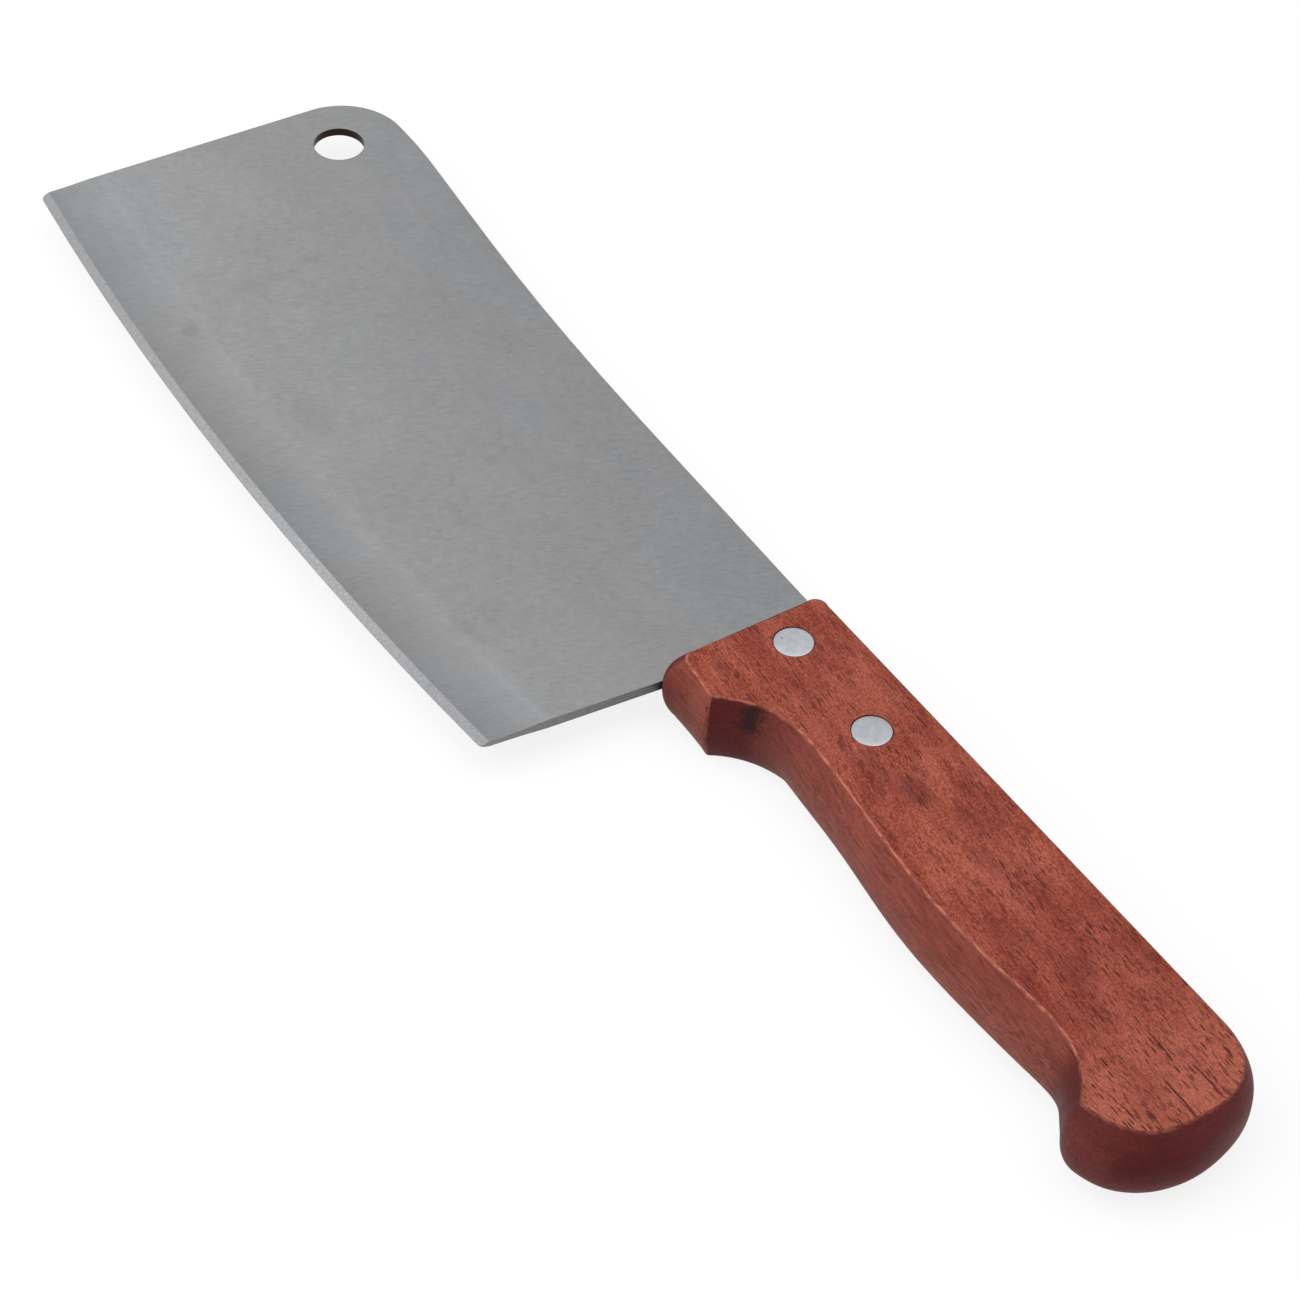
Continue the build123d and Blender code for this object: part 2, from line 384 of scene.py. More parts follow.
def groundSteel(look):
    here = startMaterial("groundSteel")
    tree = here.tree
    followEdge(here, look)
    marks = grindMarks(here, look)
    colour = shaded(tree, greyByHeight(here, look), linear(tree, here.x, *look["endTone"]))
    colour = shaded(tree, colour, sheetShade(here, look, marks))
    colour = blendColour(tree, 1.0, colour, sheetTint(here, look), "MULTIPLY")
    onBevel = spread(tree, here.height, *look["bevelTop"])
    colour = blendColour(tree, onBevel, colour, bevelSteel(here, look))
    onCut = spread(tree, calc(tree, "ABSOLUTE", here.facing["Z"]), *look["cutFaces"])
    colour = blendColour(tree, onCut, colour, cutSteel(here, look))
    here.shader.inputs["Metallic"].default_value = 1.0
    return finishMaterial(here, colour, spread(tree, marks, *look["roughness"]), marks, look["bump"])


cadNodes["blade"].material_slots[0].material = groundSteel(steelLook)
print("cleaver: blade steel done")


# handle: red-stained open-grained wood, in millimetres
rivetPlaces = {"front": (32.75, 21.92), "rear": (59.75, 21.12)}

woodLook = {
    "redTone": (0.203, 0.035, 0.020),
    "paleTone": (0.395, 0.101, 0.064),
    "darkBlotch": (0.112, 0.019, 0.018),
    # pores, and the painted shade along the blade's side of the outline
    "poreAndShadeTone": (0.072, 0.014, 0.010),
    "lineTone": (0.050, 0.010, 0.008),
    # end grain; also the painted shade on the front corner, the hook and the scoop's start
    "endTone": (0.088, 0.013, 0.012),
    # painted sheen on the butt
    "endSheenTone": (0.128, 0.029, 0.027),
    "coolTone": (0.204, 0.056, 0.043),
    # rubbed stain, with a painted highlight along the outlines
    "wornAndHighlightTone": (0.570, 0.190, 0.122),
    # rubbed stain and painted highlight on the crease
    "rubbedCreaseHighlightTone": (0.300, 0.095, 0.065),
    "darkPatchTone": (0.022, 0.009, 0.009),
    # painted shade in the hook's hollow
    "hookShadeTone": (0.030, 0.004, 0.004),
    # spots: middle, size, strength
    "blotches": [
        ((76.4, 19.1), (6.0, 3.4), 0.60),
        ((113.5, 12.5), (6.5, 2.8), 0.35),
        ((31.3, 5.9), (2.2, 1.6), 0.45),
        ((98.0, 20.0), (7.0, 3.0), 0.30),
    ],
    "grainLines": [                                 # long open pores on the butt
        ((158.6, 16.0), (6.2, 0.30), 0.95),
        ((163.2, 15.7), (3.2, 0.34), 0.90),
        ((158.6, 22.6), (5.8, 0.26), 0.85),
        ((147.5, 20.3), (4.6, 0.28), 0.80),
        ((160.2, 9.3), (2.6, 0.28), 0.85),
        ((162.6, 26.4), (2.8, 0.26), 0.80),
        ((157.6, 6.2), (2.8, 0.26), 0.80),
        ((155.4, 4.4), (2.2, 0.26), 0.75),
        ((163.8, 12.6), (1.8, 0.26), 0.80),
    ],
    "behindGrip": ((126.0, 18.0), (26.0, 40.0), 0.22),
    # painted shade in the hook's hollow
    "hookHollowShade": ((147.0, -0.5), (7.5, 6.5), 0.42),
    "besideCrease": ((35.4, 13.0), (4.6, 6.5), 0.15),    # along and up
    "darkPatch": ((43.5, 12.9), (2.3, 5.0), 0.92),
    # noise fields: grain lengths, then detail, roughness and distortion
    "swayAcross": ((45.0, 20.0, 20.0), 1.0),
    "swayUp": ((38.0, 14.0, 14.0), 1.0),
    "tone": ((15.0, 5.0, 6.0), 3.0, 0.55),
    "fibre": ((5.5, 0.40, 0.40), 3.0, 0.6),
    "speck": ((0.60, 0.30, 0.30), 2.0, 0.7),
    "grit": ((0.34, 0.20, 0.20), 1.0),
    "blotch": ((12.0, 7.0, 8.0), 2.0, 0.5, 0.4),
    "streak": ((13.0, 0.45, 0.45), 3.0, 0.65),
    "crowd": ((8.0, 3.0, 3.0), 1.0),
    "rings": ((30.0, 9.0, 0.8), 2.0, 0.6, 0.3),
    "ragged": ((1.0, 1.0, 1.5), 3.0, 0.65),
    "broken": ((2.2, 0.8, 0.8), 3.0),
    # steps: two values of what is followed, and what comes out at each
    "lean": (-10.0, 150.0, 0.0, 12.0),              # of the fibres towards the belly, by x
    "swayAcrossBy": (0.0, 1.0, -2.2, 2.2),
    "swayUpBy": (0.0, 1.0, -1.2, 1.2),
    "flatFaces": (0.93, 0.985),                     # by how far the surface faces up or down
    "paleShare": (0.40, 0.60),
    "speckShade": (0.28, 0.72, 0.72, 1.32),
    "gritShade": (0.25, 0.75, -0.20, 0.20),
    "blotchShare": (0.54, 0.74, 0.0, 0.34),
    "coolShare": (7.0, 15.5, 0.80, 0.66),           # by height
    "streakShade": (0.34, 0.66, 0.66, 1.24),
    "upperRed": (11.0, 14.5, 0.0, 0.28),            # by height
    "lowerPale": (6.0, 14.0, 0.12, 0.0),            # by height
    "lowPaleFrom": (88.0, 118.0),                      # by x
    "lowPaleTo": (132.0, 141.0, 1.0, 0.0),
    "buttWorn": (136.0, 160.0, 0.0, 0.20),
    "poresByCrowd": (0.35, 0.62, 0.25, 0.85),
    "poresByX": (95.0, 160.0, 0.0, 0.35),
    "poresOnSide": (0.0, 1.0, 1.0, 0.6),
    "endByFacing": (0.12, 0.62, 0.0, 0.96),
    "hookByX": (138.0, 144.5, 0.0, 0.88),
    "hookByY": (10.0, 20.0, 1.0, 0.0),
    # painted shade on the front block's lower part and at the scoop's start
    "frontShadeByX": (23.0, 36.0, 0.55, 0.15),
    "frontShadeByZ": (15.5, 9.0, 0.15, 1.0),
    "scoopShadeByX": (44.0, 62.0, 0.62, 0.0),
    "endSpeck": (0.3, 0.7, 0.74, 1.26),
    "ringShade": (0.3, 0.7, -0.14, 0.14),
    # painted sheen where the butt turns to the spine, the belly and the board
    "sheenToSpine": (-0.35, 0.45),                   # by facing along y
    "sheenToBelly": (-0.55, -0.90, 0.0, 0.8),
    "sheenToBoard": (10.5, 4.5, 0.0, 1.0),           # by height
    "sheenOnButt": (144.0, 156.0),                     # by x
    "raggedBy": (0.0, 1.0, -2.2, 2.2),
    "brokenShare": (0.36, 0.60, 0.22, 1.0),
    "nearOutline": (7.45, 7.85),                    # by height from the middle plane
    "roughness": (0.35, 0.65, 0.61, 0.49),
    # limits of the stains and of the painted shade
    "topAbove": 15.0,
    "blockEnds": 37.0,
    "blockSide": 5.0,
    "scoopStarts": 38.0,
    "scoopSide": 14.0,
    "darkPatchSide": 12.0,
    "middlePlane": 8.0,                             # its height, which is half the thickness
    # pores: cell, radius in cells, share of the cells that have one
    "shortPores": ((2.6, 0.48, 0.48), 0.56, 0.85),
    "longPores": ((5.2, 0.72, 0.72), 0.46, 0.42),
    "longPoreShare": 0.80,
    "poreRadius": 0.55,                             # smallest share of the radius
    "poreRim": 0.20,
    "poreDepth": 0.45,                              # faintest
    "toneWeights": (0.45, 0.20, 0.35),              # tone, fibre, speck
    "rubAndHighlightOnCrease": 0.72,
    "fibreRelief": 0.35,
    "specular": 0.10,
    "bump": (0.00012, 0.6),                         # metres, strength
    # shape of the rubbed outlines and of the scoop's crease
    "bands": (0.17, 0.22),                          # two narrow bands along each outline
    "drop": 0.09,                                   # how far the outline is rubbed down
    "rivetReach": 4.6,                              # around a rivet the outline stays
    "wearZones": [                                  # x from and to, y from and to, stain rubbed off with a painted highlight; below 0, painted shade
        (0.0, 40.0, 8.0, 50.0, -1.0),               # along the blade it is painted shade instead, of the front face and the groove to the blade
        (37.0, 50.0, -50.0, 12.0, 0.75),
        (0.0, 142.0, -50.0, 12.0, 1.0),             # belly
        (0.0, 150.0, 20.0, 50.0, 0.65),             # spine side
    ],
    "wearElsewhere": 0.35,
    "wearInside": 0.4,                              # what is left of it a band further in
    # painted shade left a band further in
    "grimeInside": 0.7,
    "creaseX": (30.0, 42.0),                        # where the crease is looked for
    "creaseBelow": 2.0,
    "creaseAngle": 22.0,                            # degrees, at least
    "creaseUpright": 0.6,                           # share of an edge's length that goes up
    "creaseEase": 1.00,                             # its rounding at half thickness
    "creaseSegments": 4,
    "creaseTop": 0.45,                              # share of it that is left at the flat faces
    "creaseFades": (10.0, 15.0),                    # heights between which it gets sharper
    "creaseFadesBelow": 2.0,
    "creaseCore": 0.45,                             # share of the rounding that is rubbed, with a painted highlight
    "mergeWithin": 0.001,
    "flatWithin": 0.1,                              # what counts as a face of the two flats
    "flatFacing": 0.99999,
    "flatAngle": 0.2,                               # degrees
    "smoothAngle": 32.0,
}


def poreStrokes(tree, place, look, cell, radius, kept):
    # one short stroke along the fibres in each cell that is kept
    cells = tree.nodes.new("ShaderNodeTexVoronoi")
    cells.voronoi_dimensions = "3D"
    cells.feature = "F1"
    cells.inputs["Scale"].default_value = 1.0
    cells.inputs["Randomness"].default_value = 1.0
    feed(tree, cells.inputs["Vector"], stretched(tree, place, cell))
    chance = tree.nodes.new("ShaderNodeSeparateColor")
    tree.links.new(cells.outputs["Color"], chance.inputs[0])
    present = calc(tree, "LESS_THAN", chance.outputs[0], kept)
    limit = linear(tree, chance.outputs[1], 0.0, 1.0, radius * look["poreRadius"], radius)
    inside = spread(tree, calc(tree, "SUBTRACT", limit, cells.outputs["Distance"]), 0.0, look["poreRim"])
    depth = linear(tree, chance.outputs[2], 0.0, 1.0, look["poreDepth"], 1.0)
    return product(tree, present, depth, inside)


def followFibres(here, look):
    # the fibres lean towards the belly in the grip and wander a little
    tree, place = here.tree, here.place
    lean = spread(tree, here.x, *look["lean"])
    swayAcross = linear(tree, noise(tree, place, *look["swayAcross"]), *look["swayAcrossBy"])
    swayUp = linear(tree, noise(tree, place, *look["swayUp"]), *look["swayUpBy"])
    here.grain = joined(tree, here.x, total(tree, here.y, lean, swayAcross), total(tree, here.z, swayUp))
    here.fibre = noise(tree, here.grain, *look["fibre"])
    here.speck = noise(tree, here.grain, *look["speck"])
    tone = noise(tree, here.grain, *look["tone"])
    here.mixed = weighted(tree, *zip((tone, here.fibre, here.speck), look["toneWeights"]))
    here.flat = spread(tree, calc(tree, "ABSOLUTE", here.facing["Z"]), *look["flatFaces"])
    here.side = calc(tree, "SUBTRACT", 1.0, here.flat)


def stainedFibres(here, look):
    tree = here.tree
    pale = linear(tree, here.mixed, *look["paleShare"])
    colour = blendColour(tree, pale, look["redTone"], look["paleTone"])
    grit = linear(tree, noise(tree, here.grain, *look["grit"]), *look["gritShade"])
    colour = shaded(tree, colour, total(tree, linear(tree, here.speck, *look["speckShade"]), grit))
    stain = spread(tree, noise(tree, here.place, *look["blotch"]), *look["blotchShare"])
    for blotch in look["blotches"]:
        stain = largest(tree, stain, softSpot(tree, here.x, here.y, *blotch))
    return blendColour(tree, stain, colour, look["darkBlotch"])


def streakySides(here, look, colour):
    # the sides have taken a cooler stain, redder near the top; the larger share of it low down is painted
    # shade, where the sides turn under
    tree, x, z = here.tree, here.x, here.z
    streaky = blendColour(tree, spread(tree, z, *look["coolShare"]), colour, look["coolTone"])
    streak = noise(tree, here.grain, *look["streak"])
    streaky = shaded(tree, streaky, linear(tree, streak, *look["streakShade"]))
    streaky = blendColour(tree, spread(tree, z, *look["upperRed"]), streaky, look["redTone"])
    # a little paler low on the belly, ahead of the hook
    low = product(
        tree, spread(tree, z, *look["lowerPale"]), spread(tree, x, *look["lowPaleFrom"]),
        spread(tree, x, *look["lowPaleTo"]),
    )
    streaky = blendColour(tree, low, streaky, look["wornAndHighlightTone"])
    return blendColour(tree, here.side, colour, streaky)


def fadedTop(here, look, colour):
    # a little darker behind the grip and paler at the butt
    tree, x = here.tree, here.x
    behind = product(tree, softSpot(tree, x, here.y, *look["behindGrip"]), here.flat)
    colour = blendColour(tree, behind, colour, look["redTone"])
    butt = product(tree, spread(tree, x, *look["buttWorn"]), here.flat)
    return blendColour(tree, butt, colour, look["wornAndHighlightTone"])


def openPores(here, look, colour):
    tree, x, y = here.tree, here.x, here.y
    shortPores = poreStrokes(tree, here.grain, look, *look["shortPores"])
    longPores = poreStrokes(tree, here.grain, look, *look["longPores"])
    crowd = spread(tree, noise(tree, here.grain, *look["crowd"]), *look["poresByCrowd"])
    crowd = total(tree, crowd, spread(tree, x, *look["poresByX"]), clamp=True)
    pores = largest(tree, product(tree, shortPores, crowd), product(tree, longPores, look["longPoreShare"]))
    pores = product(tree, pores, spread(tree, here.side, *look["poresOnSide"]))
    colour = blendColour(tree, pores, colour, look["poreAndShadeTone"])
    onTop = calc(tree, "GREATER_THAN", here.z, look["topAbove"])
    for grainLine in look["grainLines"]:
        line = product(tree, softSpot(tree, x, y, *grainLine), onTop)
        pores = largest(tree, pores, line)
        colour = blendColour(tree, line, colour, look["lineTone"])
    here.pores = pores
    return colour


def paleBlock(here, look, colour):
    # the block's side is rubbed paler beside the crease
    tree = here.tree
    beside = softSpot(tree, here.x, here.z, *look["besideCrease"])
    beside = product(tree, beside, here.side, calc(tree, "LESS_THAN", here.y, look["blockSide"]))
    return blendColour(tree, beside, colour, look["wornAndHighlightTone"])


def endGrainAndShadeShare(here, look):
    # end grain takes more stain; the hook is darker partly for that and partly by painted shade, and the
    # front corner and the scoop's start by painted shade
    tree, x, y, z = here.tree, here.x, here.y, here.z
    byFacing = spread(tree, calc(tree, "ABSOLUTE", here.facing["X"]), *look["endByFacing"])
    hook = product(tree, spread(tree, x, *look["hookByX"]), spread(tree, y, *look["hookByY"]))
    front = product(
        tree, spread(tree, x, *look["frontShadeByX"]), spread(tree, z, *look["frontShadeByZ"]),
        calc(tree, "LESS_THAN", x, look["blockEnds"]),
    )
    scoop = product(
        tree, spread(tree, x, *look["scoopShadeByX"]), calc(tree, "GREATER_THAN", x, look["scoopStarts"]),
        calc(tree, "LESS_THAN", y, look["scoopSide"]),
    )
    return product(tree, largest(tree, byFacing, hook, front, scoop), here.side)


def darkEndsAndShade(here, look, colour):
    tree, x, facingY = here.tree, here.x, here.facing["Y"]
    # painted sheen: paler where the butt turns up to the spine, to the belly and down to the board
    turned = largest(
        tree, spread(tree, facingY, *look["sheenToSpine"]), spread(tree, here.z, *look["sheenToBoard"]),
        spread(tree, facingY, *look["sheenToBelly"]),
    )
    turned = product(tree, turned, spread(tree, x, *look["sheenOnButt"]))
    end = blendColour(tree, turned, look["endTone"], look["endSheenTone"])
    rings = linear(tree, noise(tree, here.place, *look["rings"]), *look["ringShade"])
    end = shaded(tree, end, total(tree, linear(tree, here.speck, *look["endSpeck"]), rings))
    # painted shade in the hook's hollow
    end = blendColour(tree, softSpot(tree, x, here.y, *look["hookHollowShade"]), end, look["hookShadeTone"])
    return blendColour(tree, endGrainAndShadeShare(here, look), colour, end)


def darkPatchedSpot(here, look, colour):
    # a near-black patch in the scoop, with a ragged outline
    tree = here.tree
    ragged = linear(tree, noise(tree, here.place, *look["ragged"]), *look["raggedBy"])
    darkPatch = softSpot(tree, total(tree, here.x, ragged), here.z, *look["darkPatch"])
    inScoop = calc(tree, "LESS_THAN", here.y, look["darkPatchSide"])
    return blendColour(tree, product(tree, darkPatch, inScoop, here.side), colour, look["darkPatchTone"])


def rubbedEdgesWithPaintedLight(here, look, colour):
    # stain worn off along the edges with a painted highlight on them, and painted shade along the blade, by
    # the mesh's own attributes
    tree = here.tree
    broken = spread(tree, noise(tree, here.place, *look["broken"]), *look["brokenShare"])
    fromMiddle = calc(tree, "ABSOLUTE", calc(tree, "SUBTRACT", here.z, look["middlePlane"]))
    outline = spread(tree, fromMiddle, *look["nearOutline"])
    rub = product(tree, meshAttribute(tree, "outlineWearAndPaintedLight"), broken, outline)
    # rubbed stain and a painted highlight on the crease
    rubAndHighlightOnCrease = product(tree, meshAttribute(tree, "wearAndHighlightOnCrease"), broken, look["rubAndHighlightOnCrease"])
    colour = blendColour(tree, rubAndHighlightOnCrease, colour, look["rubbedCreaseHighlightTone"])
    colour = blendColour(tree, largest(tree, rub, 0.0), colour, look["wornAndHighlightTone"])
    return blendColour(tree, product(tree, rub, -1.0, clamp=True), colour, look["poreAndShadeTone"])


def stainedWood(look):
    here = startMaterial("stainedWood")
    tree = here.tree
    followFibres(here, look)
    colour = stainedFibres(here, look)
    for layer in (streakySides, fadedTop, openPores, paleBlock, darkEndsAndShade, darkPatchedSpot, rubbedEdgesWithPaintedLight):
        colour = layer(here, look, colour)
    here.shader.inputs["Specular IOR Level"].default_value = look["specular"]
    relief = calc(tree, "SUBTRACT", product(tree, here.fibre, look["fibreRelief"]), here.pores)
    return finishMaterial(here, colour, spread(tree, here.mixed, *look["roughness"]), relief, look["bump"])


def nearRivet(spot, look):
    return any(math.hypot(spot.x - x, spot.y - y) < look["rivetReach"] for x, y in rivetPlaces.values())


def wearAndShadeAt(spot, look):
    # how far the stain is rubbed off an outline, with a painted highlight; below 0 it is painted shade
    # instead
    if nearRivet(spot, look):
        return 0.0
    for lowX, highX, lowY, highY, wear in look["wearZones"]:
        if lowX < spot.x < highX and lowY < spot.y < highY:
            return wear
    return look["wearElsewhere"]


def pointAt(line, z):
    # the place on a row of points that rises with z
    for lower, upper in zip(line, line[1:]):
        if z <= upper.z:
            return lower.lerp(upper, max(0.0, (z - lower.z) / (upper.z - lower.z)))
    return line[-1].copy()


def isCrease(edge, look):
    if len(edge.link_faces) != 2 or edge.calc_face_angle(0) <= math.radians(look["creaseAngle"]):
        return False
    first, second = (v.co for v in edge.verts)
    low, high = look["creaseX"]
    if not all(low < co.x / mm < high and co.y / mm < look["creaseBelow"] for co in (first, second)):
        return False
    return abs(first.z - second.z) > look["creaseUpright"] * (first - second).length


def easeCrease(build, look, wearAndHighlightOnCrease):
    # round the upright crease where the scoop starts
    crease = [e for e in build.edges if isCrease(e, look)]
    line = [v.co.copy() for v in sorted({v for e in crease for v in e.verts}, key=lambda v: v.co.z)]
    eased = bmesh.ops.bevel(
        build, geom=crease, offset=look["creaseEase"] * mm, segments=look["creaseSegments"], profile=0.5,
        affect="EDGES", clamp_overlap=False,
    )
    low, high = look["creaseFades"]
    for corner in {v for f in eased["faces"] for v in f.verts}:
        # sharper towards the flat faces, earlier at the upper one
        level = corner.co.z / mm
        fromBelow = 1.0 - level / look["creaseFadesBelow"]
        nearFace = min(1.0, max(0.0, (level - low) / (high - low), fromBelow))
        keep = 1.0 - (1.0 - look["creaseTop"]) * nearFace
        onLine = pointAt(line, corner.co.z)
        away = (corner.co - onLine) * Vector((1, 1, 0))
        corner[wearAndHighlightOnCrease] = float(away.length < look["creaseCore"] * look["creaseEase"] * mm)
        corner.co = Vector((*onLine.xy, corner.co.z)) + away * keep


def flatFaces(build, look, side):
    # the faces of the handle's upper or lower flat, for side 1 or -1
    middle = look["middlePlane"] * mm
    reach = middle - look["flatWithin"] * mm
    return [
        f for f in build.faces
        if f.normal.z * side > look["flatFacing"] and abs(f.calc_center_median().z - middle) > reach
    ]


def rubOutline(build, look, side, outlineWearAndPaintedLight):
    # one face from the flat's many, narrow bands along its outline, and the outline rubbed down
    broad = flatFaces(build, look, side)
    bmesh.ops.dissolve_limit(
        build, angle_limit=math.radians(look["flatAngle"]), verts=list({v for f in broad for v in f.verts}),
        edges=[e for e in build.edges if len(e.link_faces) == 2 and all(f in broad for f in e.link_faces)],
    )
    broad = flatFaces(build, look, side)
    bands = [
        set(bmesh.ops.inset_region(
            build, faces=broad, thickness=width * mm, use_boundary=True, use_even_offset=True,
        )["faces"])
        for width in look["bands"]
    ]
    whole = set(broad).union(*bands)
    outline = {v for e in build.edges if sum(f in whole for f in e.link_faces) == 1 for v in e.verts}
    for corner in outline:
        # rubbed stain with a painted highlight on the outline, painted shade where the amount is below 0
        amount = wearAndShadeAt(corner.co / mm, look)
        corner[outlineWearAndPaintedLight] = amount
        inward = {e.other_vert(corner) for e in corner.link_edges if any(f in bands[0] for f in e.link_faces)}
        for other in inward - outline:
            other[outlineWearAndPaintedLight] = amount * (look["wearInside"] if amount > 0 else look["grimeInside"])
    for corner in outline:
        if not nearRivet(corner.co / mm, look):
            corner.co.z -= side * look["drop"] * mm


def smoothMesh(mesh, angle):
    for polygon in mesh.polygons:
        polygon.use_smooth = True
    mesh.set_sharp_from_angle(angle=math.radians(angle))


def shapedHandle(look):
    # a merged copy of the CAD block with its crease and outlines eased
    mesh = cadNodes["handle"].data.copy()
    mesh.name = "handleWood"
    build = bmesh.new()
    build.from_mesh(mesh)
    bmesh.ops.remove_doubles(build, verts=build.verts, dist=look["mergeWithin"] * mm)
    outlineWearAndPaintedLight = build.verts.layers.float.new("outlineWearAndPaintedLight")
    wearAndHighlightOnCrease = build.verts.layers.float.new("wearAndHighlightOnCrease")
    easeCrease(build, look, wearAndHighlightOnCrease)
    for side in (1, -1):
        rubOutline(build, look, side, outlineWearAndPaintedLight)
    build.to_mesh(mesh)
    build.free()
    smoothMesh(mesh, look["smoothAngle"])
    mesh.materials.clear()
    mesh.materials.append(stainedWood(look))
    handle = bpy.data.objects.new("handleWood", mesh)
    bpy.context.scene.collection.objects.link(handle)
    return handle


handleWood = shapedHandle(woodLook)
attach(handleWood, "root")
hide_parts("handle")
print("cleaver: handle done with", len(handleWood.data.polygons), "faces")


# rivets: two-part aluminium, set by a Geometry Nodes tree, in millimetres
rivetLook = {
    "grip": 16.0,                         # outer face to outer face
    "headRadius": 4.0,
    "headThickness": 1.8,
    "dome": 0.10,
    "domeSteps": 5,
    "rimRound": 0.22,
    "rimSteps": 4,
    "barrelRadius": 2.4,
    "boreRadius": 1.52,
    "stemRadius": 1.5,
    "shankLength": 11.9,
    "sides": 96,
    "smoothAngle": 40.0,
    "firstSeed": 3,
    "colour": (0.388, 0.405, 0.432),
    "clouds": ((1.6, 1.6, 1.6), 3.0),
    "scuffs": ((0.9, 0.16, 0.5), 2.0, 0.6),
    "cloudShade": (0.3, 0.7, 0.97, 1.03),
    "scuffShade": (0.3, 0.7, -0.02, 0.02),
    "rimShade": (0.55, 0.97, 0.35, 1.0),  # painted shade on the rolled rim, by how far the surface faces up or down
    "rearShade": (40.0, 52.0, 1.0, 0.925),           # painted shade: the rear rivet is a little darker, against the stronger lamp light on it
    "dent": ((30.6, 20.6), (0.75, 0.5)),
    "dentShade": 0.25,
    "dentDepth": 2.0,
    "roughness": (0.3, 0.7, 0.31, 0.44),
    "bump": (0.00003, 0.5),               # metres, strength
}


def rivetAluminium(look):
    here = startMaterial("rivetAluminium")
    tree = here.tree
    clouds = noise(tree, here.place, *look["clouds"])
    scuffs = noise(tree, here.place, *look["scuffs"])
    dent = softSpot(tree, here.x, here.y, *look["dent"])
    tone = total(tree, linear(tree, clouds, *look["cloudShade"]), linear(tree, scuffs, *look["scuffShade"]))
    tone = calc(tree, "SUBTRACT", tone, product(tree, dent, look["dentShade"]))
    # painted shade on the rolled rim and on the rear rivet
    rim = spread(tree, calc(tree, "ABSOLUTE", here.facing["Z"]), *look["rimShade"])
    tone = product(tree, tone, rim, spread(tree, here.x, *look["rearShade"]))
    colour = shaded(tree, look["colour"], tone)
    roughness = spread(tree, clouds, *look["roughness"])
    height = calc(tree, "SUBTRACT", scuffs, product(tree, dent, look["dentDepth"]))
    here.shader.inputs["Metallic"].default_value = 1.0
    return finishMaterial(here, colour, roughness, height, look["bump"])


def latheHalf(name, profile, look):
    # radius and depth pairs, turned about the rivet's axis
    sides = look["sides"]
    build = bmesh.new()
    rings = []
    for radius, depth in profile:
        if radius == 0:
            rings.append([build.verts.new((0, 0, depth * mm))])
        else:
            rings.append([
                build.verts.new((
                    radius * mm * math.cos(2 * math.pi * k / sides),
                    radius * mm * math.sin(2 * math.pi * k / sides),
                    depth * mm,
                ))
                for k in range(sides)
            ])
    for upper, lower in zip(rings, rings[1:]):
        for k in range(sides):
            after = (k + 1) % sides
            corners = (
                upper[k % len(upper)], lower[k % len(lower)],
                lower[after % len(lower)], upper[after % len(upper)],
            )
            build.faces.new(list(dict.fromkeys(corners)))
    bmesh.ops.recalc_face_normals(build, faces=build.faces)
    mesh = bpy.data.meshes.new(name)
    build.to_mesh(mesh)
    build.free()
    smoothMesh(mesh, look["smoothAngle"])
    return bpy.data.objects.new(name, mesh)


def headProfile(look):
    # a slightly domed face with a rolled rim
    flatRadius = look["headRadius"] - look["rimRound"]
    points = []
    for step in range(look["domeSteps"] + 1):
        share = step / look["domeSteps"]
        points.append((flatRadius * share, -look["dome"] * share**2))
    for step in range(1, look["rimSteps"] + 1):
        angle = math.pi / 2 * step / look["rimSteps"]
        points.append((
            flatRadius + look["rimRound"] * math.sin(angle),
            -look["dome"] - look["rimRound"] * (1 - math.cos(angle)),
        ))
    return points + [(look["headRadius"], -look["headThickness"])]


def rivetHalves(look):
    head = headProfile(look)
    neck = -look["headThickness"]
    bottom = neck - look["shankLength"]
    barrel = head + [
        (look["barrelRadius"], neck), (look["barrelRadius"], bottom),
        (look["boreRadius"], bottom), (look["boreRadius"], neck), (0, neck),
    ]
    stem = head + [(look["stemRadius"], neck), (look["stemRadius"], bottom), (0, bottom)]
    return latheHalf("barrelHalf", barrel, look), latheHalf("stemHalf", stem, look)


